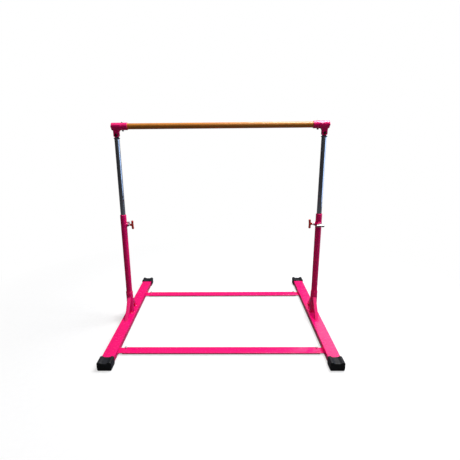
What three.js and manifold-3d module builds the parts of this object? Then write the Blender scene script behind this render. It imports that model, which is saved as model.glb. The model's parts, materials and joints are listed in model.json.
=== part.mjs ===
// Adjustable kip bar for junior gymnastics: a wooden bar on two telescoping posts,
// on a floor frame of two side rails and two flat cross tubes.
// Millimetres. Origin on the floor, midway between the posts; +X along the bar to the right,
// +Y to the back, +Z up.
import * as THREE from "three";
import { mergeVertices } from "three/addons/utils/BufferGeometryUtils.js";
import Module from "manifold-3d";

const wasm = await Module();
wasm.setup();

// ---- driving dimensions shared by several pieces ----
const GAP = 0.3; // between resting pieces
const BAR_Z = 1447.8; // bar axis above the floor
const POST_X = 717; // post axis from the centre
const PIN_Z = 753; // lock pin and clamp height
const PIVOT_DZ = -56; // pivot pin from the bar axis
const BOLT_R = 4; // bolts through the cross tubes and the bar
const BOLT_HOLE_R = 4.4;
const BOLT_NUT_FLATS = 13;
const RAIL = { width: 80, height: 40, wall: 2, bottom: 7, end: 733 };
const RAIL_TOP = RAIL.bottom + RAIL.height;

// ---- materials ----
const standard = (look) => new THREE.MeshStandardMaterial(look);
const paint = () => standard({ color: 0xe0186f, roughness: 0.28, metalness: 0.1 });
const plated = () => standard({ color: 0xb9c2cf, roughness: 0.22, metalness: 1 });
const zinc = () => standard({ color: 0xc3c4c4, roughness: 0.38, metalness: 1 });
const darkSteel = () => standard({ color: 0x46566a, roughness: 0.4, metalness: 0.9 });
const blackOxide = () => standard({ color: 0x15181c, roughness: 0.35, metalness: 0.8 });
const rubber = () => standard({ color: 0x15171c, roughness: 0.6, metalness: 0 });
const redPlastic = () => standard({ color: 0xc4261e, roughness: 0.4, metalness: 0 });
const wood = () => standard({ color: 0xb8741f, roughness: 0.45, metalness: 0 });
const springSteel = () => standard({ color: 0x8d9196, roughness: 0.35, metalness: 1 });

// ---- solid helpers ----
const WELD = 1e-3; // vertices closer than this become one

function solid(geometry) {
  geometry.deleteAttribute("normal");
  geometry.deleteAttribute("uv");
  const welded = mergeVertices(geometry, WELD);
  return new wasm.Manifold(
    new wasm.Mesh({
      numProp: 3,
      vertProperties: welded.attributes.position.array,
      triVerts: new Uint32Array(welded.index.array),
    }),
  );
}

// mesh with flat-shaded faces
function meshOf(name, piece, material) {
  const { vertProperties, triVerts } = piece.getMesh();
  const indexed = new THREE.BufferGeometry();
  indexed.setAttribute("position", new THREE.BufferAttribute(vertProperties, 3));
  indexed.setIndex(new THREE.BufferAttribute(triVerts, 1));
  const geometry = indexed.toNonIndexed();
  geometry.computeVertexNormals();
  const mesh = new THREE.Mesh(geometry, material);
  mesh.name = name;
  return mesh;
}

function groupAt(x, y, z, ...children) {
  const group = new THREE.Group();
  group.position.set(x, y, z);
  return group.add(...children);
}

const join = (...pieces) => pieces.reduce((a, b) => a.add(b));
const cut = (piece, ...tools) => tools.reduce((a, b) => a.subtract(b), piece);
const points = (pairs) => pairs.map(([x, y]) => new THREE.Vector2(x, y));

// box from a [from, to] range on each axis
function box(...ranges) {
  const size = ranges.map(([from, to]) => to - from);
  const centre = ranges.map(([from, to]) => (from + to) / 2);
  return solid(new THREE.BoxGeometry(...size).translate(...centre));
}

// turns of a shape whose axis is +Y onto another axis
const AIM = {
  x: (geometry) => geometry.rotateZ(-Math.PI / 2),
  "-x": (geometry) => geometry.rotateZ(Math.PI / 2),
  y: (geometry) => geometry,
  "-y": (geometry) => geometry.rotateX(Math.PI),
  z: (geometry) => geometry.rotateX(Math.PI / 2),
};

// Every lathe profile is a list of [radius, station along the axis].
const lathe = (profile, axis, segments) =>
  solid(AIM[axis](new THREE.LatheGeometry(points(profile), segments)));

// solid of revolution, its profile closed on the axis
function turned(profile, axis, segments) {
  const closed = [...profile];
  const [startR, start] = profile[0];
  const [endR, end] = profile.at(-1);
  if (startR > 0) closed.unshift([0, start]);
  if (endR > 0) closed.push([0, end]);
  return lathe(closed, axis, segments);
}

const rod = (radius, start, end, axis, segments) =>
  turned([[radius, start], [radius, end]], axis, segments);

const hex = (acrossFlats, start, end, axis) => rod(acrossFlats / Math.sqrt(3), start, end, axis, 6);

const tube = (radius, bore, start, end, axis, segments) =>
  lathe([[bore, start], [radius, start], [radius, end], [bore, end], [bore, start]], axis, segments);

// outline of [x, z] extruded along Y
function plateXZ(shape, front, back) {
  const options = { depth: back - front, bevelEnabled: false, curveSegments: 4 };
  const geometry = new THREE.ExtrudeGeometry(shape, options);
  return solid(geometry.rotateX(Math.PI / 2).translate(0, back, 0));
}

// geometry of a rectangular tube along +Z from the origin
function boxTube(width, height, wall, length) {
  const rectangle = (x, y) => points([[-x, -y], [x, -y], [x, y], [-x, y]]);
  const section = new THREE.Shape(rectangle(width / 2, height / 2));
  section.holes.push(new THREE.Path(rectangle(width / 2 - wall, height / 2 - wall)));
  return new THREE.ExtrudeGeometry(section, { depth: length, bevelEnabled: false });
}

// pieces are made for the back or the right; side -1 gives the front or left one
const mirrorY = (piece, side) => (side < 0 ? piece.mirror([0, 1, 0]) : piece);
const mirrorX = (piece, side) => (side < 0 ? piece.mirror([1, 0, 0]) : piece);

// ---- side rail with its rubber boots; X is measured from the post axis ----
function sideRail() {
  const geometry = boxTube(RAIL.width, RAIL.height, RAIL.wall, 2 * RAIL.end);
  geometry.rotateX(Math.PI / 2).translate(0, RAIL.end, RAIL.bottom + RAIL.height / 2);
  return solid(geometry);
}

const BOOT = { width: 92, height: 61, inner: 664, outer: 744, bottomRound: 10, topRound: 12 };
// dip in the boot's top; the insets, from the boot's side, are its curve's two handles and end
const SADDLE = { depth: 9, upperInset: 17, lowerInset: 21, endInset: 32 };

function bootOutline() {
  const side = BOOT.width / 2;
  const top = BOOT.height;
  const low = top - SADDLE.depth;
  const base = side - BOOT.bottomRound;
  const shoulder = side - BOOT.topRound;
  const upper = side - SADDLE.upperInset;
  const lower = side - SADDLE.lowerInset;
  const end = side - SADDLE.endInset;
  return new THREE.Shape()
    .moveTo(-base, 0)
    .lineTo(base, 0)
    .quadraticCurveTo(side, 0, side, BOOT.bottomRound)
    .lineTo(side, top - BOOT.topRound)
    .quadraticCurveTo(side, top, shoulder, top)
    .bezierCurveTo(upper, top, lower, low, end, low)
    .lineTo(-end, low)
    .bezierCurveTo(-lower, low, -upper, top, -shoulder, top)
    .quadraticCurveTo(-side, top, -side, top - BOOT.topRound)
    .lineTo(-side, BOOT.bottomRound)
    .quadraticCurveTo(-side, 0, -base, 0);
}

// rounded block with a pocket for the rail
function boot(side) {
  const pocketX = RAIL.width / 2 + GAP;
  const pocket = box(
    [-pocketX, pocketX],
    [BOOT.inner - 5, RAIL.end + GAP],
    [RAIL.bottom - GAP, RAIL_TOP + GAP],
  );
  return mirrorY(cut(plateXZ(bootOutline(), BOOT.inner, BOOT.outer), pocket), side);
}

// ---- post socket and its braces ----
const SOCKET = { radius: 26, bore: 23, top: 223 };
const BRACE = { width: 25, wall: 2, footY: 143, topZ: 163, overrun: 45 };
const TRIM = { x: 60, y: 260, bottom: -80, top: 400 }; // extent of the tools round a brace

const postSocket = () => tube(SOCKET.radius, SOCKET.bore, RAIL_TOP + GAP, SOCKET.top, "z", 28);

// square tube from the rail's top up to the socket
function brace(side) {
  const run = SOCKET.radius - BRACE.footY;
  const rise = BRACE.topZ - RAIL_TOP;
  const length = Math.hypot(run, rise) + 2 * BRACE.overrun;
  const geometry = boxTube(BRACE.width, BRACE.width, BRACE.wall, length)
    .translate(0, 0, -BRACE.overrun)
    .rotateX(Math.atan2(-run, rise)) // leans from +Z towards -Y
    .translate(0, BRACE.footY, RAIL_TOP);
  const trimmed = cut(
    solid(geometry),
    box([-TRIM.x, TRIM.x], [-TRIM.y, TRIM.y], [TRIM.bottom, RAIL_TOP + GAP]),
    rod(SOCKET.radius + GAP, 0, TRIM.top, "z", 28),
  );
  // drops what came out on the far side of the socket
  const nearSide = box([-TRIM.x, TRIM.x], [SOCKET.radius * 0.4, TRIM.y], [0, TRIM.top]);
  const parts = trimmed.intersect(nearSide).decompose();
  const [largest] = parts.sort((a, b) => b.volume() - a.volume());
  return mirrorY(largest, side);
}

// ---- cross tubes, the flat spigots on the rails' inner sides, and their bolts ----
const CROSS = { width: 76, height: 10, wall: 2, z: 12, end: 652 };
const CROSS_ENDS = [["front", -522], ["rear", 438]]; // name, Y
const SPIGOT = { width: 68, thickness: 5, length: 82 };
const CROSS_BOLT = { x: 640, offsetY: 24 }; // offset from the tube's centre line

const crossBoltHole = (x, y) =>
  rod(BOLT_HOLE_R, -20, 20, "z", 10).translate([x, y + CROSS_BOLT.offsetY, CROSS.z]);

function spigot(side, y) {
  const root = side * (POST_X - RAIL.width / 2 - GAP);
  const tip = root - side * SPIGOT.length;
  const blade = box(
    [Math.min(root, tip), Math.max(root, tip)],
    [y - SPIGOT.width / 2, y + SPIGOT.width / 2],
    [CROSS.z - SPIGOT.thickness / 2, CROSS.z + SPIGOT.thickness / 2],
  );
  return cut(blade, crossBoltHole(side * CROSS_BOLT.x, y));
}

function crossTube(y) {
  const geometry = boxTube(CROSS.height, CROSS.width, CROSS.wall, 2 * CROSS.end);
  geometry.rotateY(Math.PI / 2).translate(-CROSS.end, y, CROSS.z);
  return cut(solid(geometry), crossBoltHole(-CROSS_BOLT.x, y), crossBoltHole(CROSS_BOLT.x, y));
}

// head below the tube
function crossBolt() {
  const headTop = CROSS.z - CROSS.height / 2 - GAP;
  return join(turned([[7, 3.2], [9, 4.8], [9, headTop]], "z", 16), rod(BOLT_R, 6, 23, "z", 10));
}

// hexagon with a closed dome
function crossNut() {
  const bottom = CROSS.z + CROSS.height / 2 + GAP;
  const dome = turned([[6, 23], [6, 24.6], [4.6, 27.4], [1.8, 29]], "z", 10);
  return cut(join(hex(BOLT_NUT_FLATS, bottom, 23.8, "z"), dome), rod(4.3, 15, 25.5, "z", 10));
}

// ---- outer post; in its own frame the pin points to -X and the clamp to -Y ----
const OUTER = { radius: 22.5, bore: 19, top: 830, topChamfer: [2, 3] }; // [radial, axial]
const PIN_BOSS = { radius: 13, end: 30, bore: 8.4 };
const CLAMP_BOSS = { radius: 14, end: 33, bore: 5.4 };
const BOSS_CHAMFER = 2;

function boss({ radius, end }, axis) {
  const profile = [[radius, 0], [radius, end - BOSS_CHAMFER], [radius - BOSS_CHAMFER, end]];
  return turned(profile, axis, 16).translate([0, 0, PIN_Z]);
}

const bossBore = ({ bore }, axis) => rod(bore, 0, 60, axis, 12).translate([0, 0, PIN_Z]);

function outerPost() {
  const { radius, top, topChamfer: [radial, axial] } = OUTER;
  const profile = [[radius, RAIL_TOP + 2 * GAP], [radius, top - axial], [radius - radial, top]];
  return cut(
    join(turned(profile, "z", 28), boss(PIN_BOSS, "-x"), boss(CLAMP_BOSS, "-y")),
    rod(OUTER.bore, 0, 900, "z", 28),
    bossBore(PIN_BOSS, "-x"),
    bossBore(CLAMP_BOSS, "-y"),
  );
}

// ---- pull pin, stations outward from the post axis ----
const PIN = { noseR: 4, seatR: 4.5, stemR: 3, barrelR: 8, neckR: 6 };
const SPRING = { turns: 3, radius: 4, wireR: 0.5, start: 36.5, end: 43, steps: 21 };
const GRIP = { half: 34, radius: 8.5, steps: 3, tilt: 7, station: 64.5 }; // tilt in degrees

// threaded shank, hexagon and neck; bored for the nose, the spring and the stem
function pinBarrel() {
  const seat = PIN_BOSS.end + GAP;
  const bores = [[4.35, 10, 27], [4.95, 26, 44], [3.35, 43, 60]]; // radius, start, end
  return cut(
    join(
      rod(PIN.barrelR, 19.4, seat + 1, "-x", 12),
      hex(21, seat, 37, "-x"),
      rod(PIN.neckR, 36, 48.5, "-x", 12),
    ),
    ...bores.map(([radius, start, end]) => rod(radius, start, end, "-x", 12)),
  );
}

// plunger with a nose, a spring seat and a stem that ends in the handle
function lockPin() {
  const { noseR, seatR, stemR } = PIN;
  const nose = [[2.6, 18.5], [noseR, 20.2], [noseR, 33.5]];
  const seat = [[seatR, 33.5], [seatR, 35.5]];
  const stem = [[stemR, 35.5], [stemR, 72.2]];
  return turned([...nose, ...seat, ...stem], "-x", 12);
}

// helix of diamond-section wire
function pinSpring() {
  const { turns, radius, wireR, start, end, steps } = SPRING;
  const path = [];
  for (let i = 0; i <= steps; i++) {
    const part = i / steps;
    const angle = 2 * Math.PI * turns * part;
    const x = -(start + (end - start) * part);
    path.push(new THREE.Vector3(x, radius * Math.cos(angle), radius * Math.sin(angle)));
  }
  const wire = new THREE.Shape(points([[wireR, 0], [0, wireR], [-wireR, 0], [0, -wireR]]));
  const extrudePath = new THREE.CatmullRomCurve3(path);
  return solid(new THREE.ExtrudeGeometry(wire, { steps, bevelEnabled: false, extrudePath }));
}

// T-handle: a long capsule, a little off the vertical, with a hub that slides over the neck
function pinHandle() {
  const { half, radius, steps, tilt, station } = GRIP;
  const upper = [];
  for (let i = steps; i >= 0; i--) {
    const angle = (Math.PI / 2) * (i / steps);
    upper.push([radius * Math.sin(angle), half - radius + radius * Math.cos(angle)]);
  }
  const lower = upper.map(([r, z]) => [r, -z]).reverse();
  const grip = turned([...lower, ...upper], "z", 12)
    .rotate([tilt, 0, 0])
    .translate([-station, 0, 0]);
  const hub = turned([[8, 44], [8.6, 62]], "-x", 12);
  return cut(
    join(grip, hub),
    rod(6.5, 40, 56.5, "-x", 12), // clears the barrel's neck
    rod(3.4, 50, 80, "-x", 12), // stem
    turned([[3.4, 70.4], [5.4, 73.4], [5.6, 78]], "-x", 12), // recess round the stem's end
  );
}

// ---- clamp, stations outward from the post axis ----
const CLAMP = { studR: 5, studEnd: 66, rodStation: 70, padStemR: 2.1 };

const clampNut = () =>
  cut(hex(24, CLAMP_BOSS.end + GAP, 41, "-y"), rod(5.5, 20, 60, "-y", 12));

// stud and T-rod in one; the stud is bored for the pad, the T-rod at its -X end
function clampScrew() {
  const stud = rod(CLAMP.studR, 22.5, CLAMP.studEnd, "-y", 12);
  const handle = turned([[9, -28], [9, 20], [7.4, 25.2], [3, 28]], "x", 16);
  const handleBore = rod(5.6, -40, -24.5, "x", 10);
  const onStud = [0, -CLAMP.rodStation, 0];
  return cut(
    join(stud, handle.translate(onStud)),
    rod(2.5, 15, 26.5, "-y", 12),
    handleBore.translate(onStud),
  );
}

function clampPad() {
  const { studR, padStemR } = CLAMP;
  return turned([[studR, 18], [studR, 22.1], [padStemR, 22.1], [padStemR, 25.8]], "-y", 12);
}

// ---- inner post and the tongue on its top ----
const COLLAR = { z: BAR_Z - 84, radius: 22, chamfer: 1.6 };
const INNER = { radius: 17.5, bore: 15, bottom: 600, top: COLLAR.z - GAP };
const HOLES = { radius: 4.6, pitch: 76.2, below: 1, above: 7 }; // counted from the pin
const TONGUE = { thickness: 12, width: 28, arcSteps: 7 };

// tube with a row of holes in the wall that faces the pin
function innerPost() {
  const holes = [];
  for (let i = -HOLES.below; i <= HOLES.above; i++) {
    const z = PIN_Z + i * HOLES.pitch;
    holes.push(rod(HOLES.radius, 5, 30, "-x", 10).translate([0, 0, z]));
  }
  return cut(tube(INNER.radius, INNER.bore, INNER.bottom, INNER.top, "z", 28), ...holes);
}

// plug, collar and flat round-ended tongue with the pivot hole
function tongue() {
  const { z, radius, chamfer } = COLLAR;
  const plug = rod(14.6, z - 30, z + 1, "z", 20);
  const collar = turned(
    [[17.7, z], [radius, z + 4.6], [radius, z + 7.2], [radius - chamfer, z + 9]],
    "z",
    20,
  );
  const pivotZ = BAR_Z + PIVOT_DZ;
  const half = TONGUE.width / 2;
  const outline = [[-half, z + 4], [half, z + 4]];
  for (let i = 0; i <= TONGUE.arcSteps; i++) {
    const angle = (Math.PI * i) / TONGUE.arcSteps;
    outline.push([half * Math.cos(angle), pivotZ + half * Math.sin(angle)]);
  }
  const shape = new THREE.Shape(points(outline));
  const blade = plateXZ(shape, -TONGUE.thickness / 2, TONGUE.thickness / 2);
  const pivotHole = rod(5.5, -20, 20, "y", 12).translate([0, 0, pivotZ]);
  return cut(join(plug, collar, blade), pivotHole);
}

// ---- right bar bracket and its fasteners; origin on the bar axis over the post ----
const CUP = { radius: 25, bore: 20.6, mouth: 637 - POST_X, end: 747 - POST_X, chamfer: 1.5 };
const END_PLATE = 5; // thickness closing the cup's outer end
const FORK = { width: 38, halfDepth: 17, halfSlot: 7, bottom: -72, roof: -30, chamfer: 8 };
const BAR = { radius: 20, half: 741.5, chamfer: 1.5, boltX: 670 };
const END_HOLE_R = 3.4;
const END_BOLT_REACH = 22;

// fork outline, widening upwards under the cup
function forkOutline() {
  const { bottom, chamfer } = FORK;
  const half = FORK.width / 2;
  return new THREE.Shape()
    .moveTo(-half + chamfer, bottom)
    .lineTo(half - chamfer, bottom)
    .lineTo(half, bottom + chamfer)
    .lineTo(half, -42)
    .quadraticCurveTo(half, -26, 29, -20)
    .lineTo(29, -6)
    .lineTo(-46, -6)
    .lineTo(-46, -22)
    .quadraticCurveTo(-half, -24, -half, -50)
    .lineTo(-half, bottom + chamfer)
    .closePath();
}

// slot between the fork's ears, with an arched roof
function forkSlot() {
  const archZ = FORK.roof - FORK.halfSlot;
  return join(
    box([-60, 60], [-FORK.halfSlot, FORK.halfSlot], [FORK.bottom - 5, archZ]),
    rod(FORK.halfSlot, -60, 60, "x", 12).translate([0, 0, archZ]),
  );
}

function barBracket() {
  const { radius, bore, mouth, end, chamfer } = CUP;
  const cup = turned([[radius, mouth], [radius, end - chamfer], [radius - chamfer, end]], "x", 24);
  return cut(
    join(cup, plateXZ(forkOutline(), -FORK.halfDepth, FORK.halfDepth)),
    rod(bore, mouth - 10, end - END_PLATE, "x", 24),
    forkSlot(),
    rod(END_HOLE_R, 0, 60, "x", 10),
    rod(BOLT_HOLE_R, -50, 50, "z", 10).translate([BAR.boltX - POST_X, 0, 0]),
    rod(5.4, -40, 40, "y", 12).translate([0, 0, PIVOT_DZ]),
    rod(11.5, 13.5, 40, "-y", 16).translate([0, 0, PIVOT_DZ]), // counterbore for the screw head
  );
}

// socket-head screw from the front
const pivotBolt = () =>
  cut(
    join(rod(8, 13.8, 23.8, "-y", 16), rod(5, -27, 14.5, "-y", 12)),
    rod(4.6, 18, 30, "-y", 6),
  );

const pivotNut = () =>
  cut(hex(16, FORK.halfDepth + GAP, FORK.halfDepth + 8.3, "y"), rod(5.3, 0, 60, "y", 12));

// washer-faced hexagon head on the end plate
function endBolt() {
  const seat = CUP.end + GAP;
  return join(
    rod(10.5, seat, seat + 2.2, "x", 16),
    hex(15, seat + 1, seat + 6.5, "x"),
    rod(3, seat - END_BOLT_REACH, seat + 1, "x", 10),
  );
}

// domed screw down through cup and bar
function barBolt() {
  const top = CUP.radius;
  const dome = turned([[8, top + GAP], [8, top + 1.6], [6, top + 4.6], [2.4, top + 6]], "z", 16);
  return join(dome, rod(BOLT_R, -34, top + 1, "z", 10));
}

const barBoltNut = () =>
  cut(hex(BOLT_NUT_FLATS, -CUP.radius - 7, -CUP.radius - GAP, "z"), rod(4.35, -60, 0, "z", 10));

// ---- wooden bar, drilled for the screws ----
function barRail() {
  const { radius, half, chamfer, boltX } = BAR;
  const profile = [
    [radius - chamfer, -half],
    [radius, -half + chamfer],
    [radius, half - chamfer],
    [radius - chamfer, half],
  ];
  const holes = [-1, 1].flatMap((side) => [
    rod(BOLT_HOLE_R, -30, 30, "z", 10).translate([side * boltX, 0, 0]),
    mirrorX(rod(END_HOLE_R, half - END_BOLT_REACH, half + 5, "x", 10), side),
  ]);
  return cut(turned(profile, "x", 28), ...holes);
}

// ---- assembly ----
const SIDES = [["left", -1], ["right", 1]];
const model = new THREE.Group();

for (const [name, side] of SIDES) {
  model.add(
    groupAt(
      side * POST_X, 0, 0,
      meshOf(`${name}_side_rail`, sideRail(), paint()),
      meshOf(`foot_front_${name}`, boot(-1), rubber()),
      meshOf(`foot_rear_${name}`, boot(1), rubber()),
      meshOf(`${name}_post_socket`, postSocket(), paint()),
      meshOf(`${name}_front_brace`, brace(-1), paint()),
      meshOf(`${name}_rear_brace`, brace(1), paint()),
    ),
  );
  for (const [end, y] of CROSS_ENDS) {
    model.add(
      meshOf(`spigot_${end}_${name}`, spigot(side, y), paint()),
      groupAt(
        side * CROSS_BOLT.x, y + CROSS_BOLT.offsetY, 0,
        meshOf(`cross_bolt_${end}_${name}`, crossBolt(), zinc()),
        meshOf(`cross_nut_${end}_${name}`, crossNut(), zinc()),
      ),
    );
  }
}
for (const [end, y] of CROSS_ENDS) model.add(meshOf(`${end}_cross_tube`, crossTube(y), paint()));

// the left post is the right one turned half a turn, so the pins face each other
for (const [name, side] of SIDES) {
  const post = groupAt(
    side * POST_X, 0, 0,
    meshOf(`${name}_outer_post`, outerPost(), paint()),
    meshOf(`${name}_inner_post`, innerPost(), plated()),
    groupAt(
      0, 0, PIN_Z,
      meshOf(`${name}_pin_barrel`, pinBarrel(), zinc()),
      meshOf(`${name}_lock_pin`, lockPin(), zinc()),
      meshOf(`${name}_pin_spring`, pinSpring(), springSteel()),
      meshOf(`${name}_pin_handle`, pinHandle(), redPlastic()),
      meshOf(`${name}_clamp_nut`, clampNut(), zinc()),
      meshOf(`${name}_clamp_screw`, clampScrew(), zinc()),
      meshOf(`${name}_clamp_pad`, clampPad(), zinc()),
    ),
    meshOf(`${name}_tongue`, tongue(), darkSteel()),
  );
  post.rotation.z = side < 0 ? Math.PI : 0;
  model.add(post);
}

const bar = meshOf("bar_rail", barRail(), wood());
bar.position.z = BAR_Z;
model.add(bar);

// the left bracket mirrors the right one; the pivot screw heads face the front on both
for (const [name, side] of SIDES) {
  model.add(
    groupAt(
      side * POST_X, 0, BAR_Z,
      meshOf(`${name}_bar_bracket`, mirrorX(barBracket(), side), paint()),
      meshOf(`${name}_end_bolt`, mirrorX(endBolt(), side), paint()),
      groupAt(
        0, 0, PIVOT_DZ,
        meshOf(`${name}_pivot_bolt`, pivotBolt(), blackOxide()),
        meshOf(`${name}_pivot_nut`, pivotNut(), zinc()),
      ),
      groupAt(
        side * (BAR.boltX - POST_X), 0, 0,
        meshOf(`${name}_bar_bolt`, barBolt(), zinc()),
        meshOf(`${name}_bar_bolt_nut`, barBoltNut(), zinc()),
      ),
    ),
  );
}

export default model;
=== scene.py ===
# A stand: two telescoping posts on a base frame with four rubber feet, joined by a wooden bar.
# X runs along the bar from left to right, the front faces -Y, and the floor is z = 0.
# Pieces are modelled in mm and turned into metres when their meshes are made.
import json
import math

import bmesh
import bpy
import numpy as np
from mathutils import Matrix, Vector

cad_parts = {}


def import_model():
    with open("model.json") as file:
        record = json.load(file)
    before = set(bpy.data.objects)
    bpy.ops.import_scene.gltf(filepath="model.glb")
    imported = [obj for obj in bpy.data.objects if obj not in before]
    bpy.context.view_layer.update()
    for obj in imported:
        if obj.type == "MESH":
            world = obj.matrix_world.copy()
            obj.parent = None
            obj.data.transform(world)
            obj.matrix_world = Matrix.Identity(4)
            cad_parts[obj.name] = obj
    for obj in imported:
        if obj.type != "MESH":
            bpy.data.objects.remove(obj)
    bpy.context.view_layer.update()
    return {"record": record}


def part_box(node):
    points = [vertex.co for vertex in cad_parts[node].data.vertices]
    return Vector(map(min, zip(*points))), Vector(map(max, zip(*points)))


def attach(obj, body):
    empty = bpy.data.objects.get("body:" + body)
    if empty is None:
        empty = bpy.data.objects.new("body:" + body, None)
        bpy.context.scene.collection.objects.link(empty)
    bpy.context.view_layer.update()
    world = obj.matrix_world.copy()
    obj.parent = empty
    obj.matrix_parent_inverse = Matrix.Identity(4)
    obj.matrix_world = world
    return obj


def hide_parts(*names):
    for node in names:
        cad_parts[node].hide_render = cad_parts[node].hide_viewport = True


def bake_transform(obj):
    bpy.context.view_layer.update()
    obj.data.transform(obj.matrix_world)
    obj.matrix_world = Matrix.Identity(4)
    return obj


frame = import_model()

MM = 0.001  # metres in a millimetre
RECORD = frame["record"]
BODY = {node: body for body, nodes in RECORD["behaviour"]["bodies"].items() for node in nodes}
SLOT = {part["node"]: part["material_slot"] for part in RECORD["subparts"]}
COARSE = 1.0  # factor on the grid step of blended solids


# ------------------------------------------------------------------ driving sizes, mm
def box_mm(node):
    low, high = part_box(node)
    return np.array(low) * 1000, np.array(high) * 1000


def middle_mm(node):
    low, high = box_mm(node)
    return (low + high) / 2


BAR_Z = middle_mm("bar_rail")[2]
BAR_HALF_LENGTH = box_mm("bar_rail")[1][0]
BAR_RADIUS = 20.0
POST_X = middle_mm("right_inner_post")[0]
RAIL_LOW, RAIL_HIGH = box_mm("right_side_rail")
RAIL_TOP = RAIL_HIGH[2]
BOOT_LOW, BOOT_HIGH = box_mm("foot_rear_right")
SOCKET_LOW, SOCKET_HIGH = box_mm("right_post_socket")
SOCKET_RADIUS = (SOCKET_HIGH[1] - SOCKET_LOW[1]) / 2
BRACE_FOOT_Y, BRACE_TOP_Z, BRACE_WIDTH = 143.0, 163.0, 25.0
OUTER_BOTTOM = box_mm("right_outer_post")[0][2]
OUTER_TOP = box_mm("right_outer_post")[1][2]
OUTER_RADIUS, OUTER_BORE = 22.5, 19.0
INNER_BOTTOM = box_mm("right_inner_post")[0][2]
INNER_TOP = box_mm("right_inner_post")[1][2]
INNER_RADIUS, INNER_BORE = 17.5, 15.0
HOLE_RADIUS, HOLE_PITCH = 4.6, 76.2  # row of holes up the inner post
PIN_Z = middle_mm("right_pin_barrel")[2]
PIN_BORE, CLAMP_BORE = 8.4, 5.4  # radii of the holes through the outer post's wall
SPRING_START, SPRING_END = 36.6, 42.9  # along the pin
THREAD_PITCH = 1.5
PIVOT_Z = middle_mm("right_pivot_bolt")[2]
PIVOT_DROP = PIVOT_Z - BAR_Z
COLLAR_Z = BAR_Z - 84
BAR_BOLT_X = -47.0  # in the bracket's frame
SMOOTH_ANGLE = 34  # degrees; sharper edges stay hard


# ------------------------------------------------------------------ transforms
def shift(x=0.0, y=0.0, z=0.0):
    matrix = np.eye(4)
    matrix[:3, 3] = (x, y, z)
    return matrix


def spin(axis, degrees):
    cos, sin = math.cos(math.radians(degrees)), math.sin(math.radians(degrees))
    matrix = np.eye(4)
    i, j = {"x": (1, 2), "y": (2, 0), "z": (0, 1)}[axis]
    matrix[i, i] = cos
    matrix[j, j] = cos
    matrix[i, j] = -sin
    matrix[j, i] = sin
    return matrix


def unit(vectors):
    return vectors / np.linalg.norm(vectors, axis=-1, keepdims=True)


MIRROR_X = np.diag([-1.0, 1.0, 1.0, 1.0])
MIRROR_Y = np.diag([1.0, -1.0, 1.0, 1.0])
# the left post is the right one turned half a turn; the left bracket is mirrored
POST = {"right": shift(POST_X), "left": shift(-POST_X) @ spin("z", 180)}
BRACKET = {"right": shift(POST_X, 0, BAR_Z), "left": shift(-POST_X, 0, BAR_Z) @ MIRROR_X}
# these lay a piece's own +Z along another direction
TO_PIN = shift(0, 0, PIN_Z) @ spin("y", -90)  # out along the pin, -X of the post
TO_CLAMP = shift(0, 0, PIN_Z) @ spin("x", 90)  # out along the clamp, -Y of the post
TO_X = spin("y", 90)
TO_Y = spin("x", -90)
TO_MINUS_Y = spin("x", 90)


# ------------------------------------------------------------------ shells
class Shell:
    """Vertices in mm, with quads and triangles."""

    def __init__(self, verts, quads=(), tris=()):
        self.verts = np.asarray(verts, float).reshape(-1, 3)
        self.quads = np.asarray(quads, int).reshape(-1, 4)
        self.tris = np.asarray(tris, int).reshape(-1, 3)

    def moved(self, matrix):
        verts = self.verts @ matrix[:3, :3].T + matrix[:3, 3]
        if np.linalg.det(matrix[:3, :3]) < 0:
            return Shell(verts, self.quads[:, ::-1], self.tris[:, ::-1])
        return Shell(verts, self.quads, self.tris)

    def __add__(self, other):
        offset = len(self.verts)
        return Shell(
            np.concatenate([self.verts, other.verts]),
            np.concatenate([self.quads, other.quads + offset]),
            np.concatenate([self.tris, other.tris + offset]),
        )


def loft(rings, close=False, start=None, end=None):
    """Skin over equal rings; an open one is capped by fans about start and end."""
    size, count = len(rings[0]), len(rings)
    verts = np.concatenate([np.asarray(ring_points, float) for ring_points in rings])
    here = np.arange(size)
    after = (here + 1) % size
    quads = []
    for i in range(count if close else count - 1):
        low, high = i * size, ((i + 1) % count) * size
        quads.append(np.stack([low + here, low + after, high + after, high + here], 1))
    tris = ()
    if not close:
        start = np.mean(rings[0], 0) if start is None else start
        end = np.mean(rings[-1], 0) if end is None else end
        verts = np.concatenate([verts, [start, end]])
        last, tip = (count - 1) * size, count * size
        tris = np.concatenate([
            np.stack([after, here, np.full(size, tip)], 1),
            np.stack([last + here, last + after, np.full(size, tip + 1)], 1),
        ])
    return Shell(verts, np.concatenate(quads), tris)


def rounded(points, steps=5, closed=False):
    """Polyline with arcs at its corners: a point is (x, y) or (x, y, radius)."""
    out, count = [], len(points)
    for i, point in enumerate(points):
        radius = point[2] if len(point) > 2 else 0
        if radius <= 0 or (not closed and i in (0, count - 1)):
            out.append((point[0], point[1]))
            continue
        before, corner, after = (
            np.array(points[j % count][:2], float) for j in (i - 1, i, i + 1)
        )
        before_length = np.linalg.norm(before - corner)
        after_length = np.linalg.norm(after - corner)
        to_before = (before - corner) / before_length
        to_after = (after - corner) / after_length
        half = math.acos(max(-1, min(1, float(to_before @ to_after)))) / 2
        setback = min(radius / math.tan(half), 0.49 * before_length, 0.49 * after_length)
        radius = setback * math.tan(half)
        centre = corner + unit(to_before + to_after) * (radius / math.sin(half))
        first = math.atan2(*(corner + to_before * setback - centre)[::-1])
        last = math.atan2(*(corner + to_after * setback - centre)[::-1])
        sweep = (last - first + math.pi) % (2 * math.pi) - math.pi
        for step in range(steps + 1):
            angle = first + sweep * step / steps
            out.append((centre[0] + radius * math.cos(angle), centre[1] + radius * math.sin(angle)))
    return out


def ring_angles(segments):
    return 2 * math.pi * np.arange(segments) / segments


def ring(radius, z, segments):
    angles = ring_angles(segments)
    return np.column_stack([radius * np.cos(angles), radius * np.sin(angles), np.full(segments, z)])


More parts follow.
